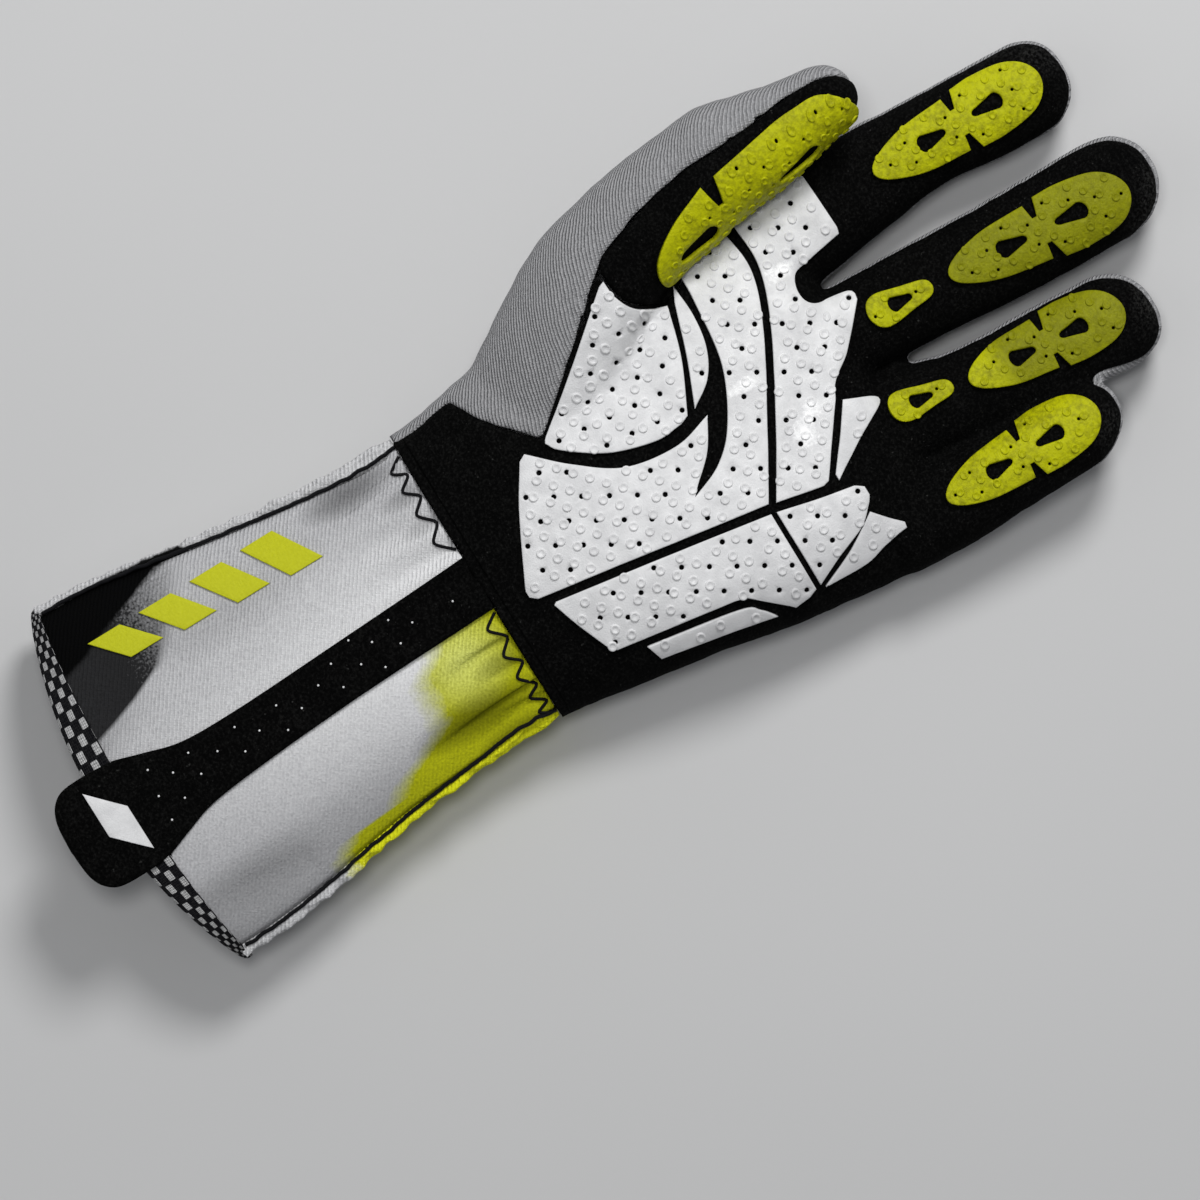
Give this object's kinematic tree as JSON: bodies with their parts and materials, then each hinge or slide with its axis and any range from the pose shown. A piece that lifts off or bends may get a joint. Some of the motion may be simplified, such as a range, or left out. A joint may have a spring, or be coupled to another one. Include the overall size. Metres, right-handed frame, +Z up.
{
  "type": "karting glove",
  "caption": "Left-hand racing glove with a long flared cuff, suede palm with grip panels, rubber finger pads, a cuff strap with a pull tab and a taped hem.",
  "frame": {"origin": "on the ground, under the centre of the glove's bounding box as it lies on its back with the palm up", "axes": "+Z up, out of the palm; +Y from the cuff's hem to the fingertips; +X from the thumb to the little finger"},
  "size_m": [0.1342, 0.333, 0.0466],
  "materials": {
    "cloth": "light grey twill, some of it dyed in soft-edged zones",
    "leather": "matt black suede",
    "grip": "smooth off-white, perforated, with raised rings",
    "rubber": "satin yellow-green with raised rings",
    "tape": "woven black and white checks",
    "cord": "matt black piping"
  },
  "bodies": {
    "root": {"back_cloth": "cloth", "cuff_front": "cloth", "cuff_back": "cloth", "palm_leather": "leather", "thumb_leather": "leather", "strap": "leather", "pull_tab": "leather", "grip_thenar": "grip", "grip_crescent": "grip", "grip_centre": "grip", "grip_index": "grip", "grip_ring": "grip", "grip_little": "grip", "grip_edge": "grip", "grip_heel": "grip", "grip_side": "grip", "tab_patch": "grip", "pad_index": "rubber", "pad_middle": "rubber", "pad_ring": "rubber", "pad_little": "rubber", "pad_middle_base": "rubber", "pad_ring_base": "rubber", "pad_thumb": "rubber", "accent_bar_1": "rubber", "accent_bar_2": "rubber", "accent_bar_3": "rubber", "accent_bar_4": "rubber", "hem_tape": "tape", "side_seam_thumb": "cord", "side_seam_little": "cord"}
  },
  "joints": []
}
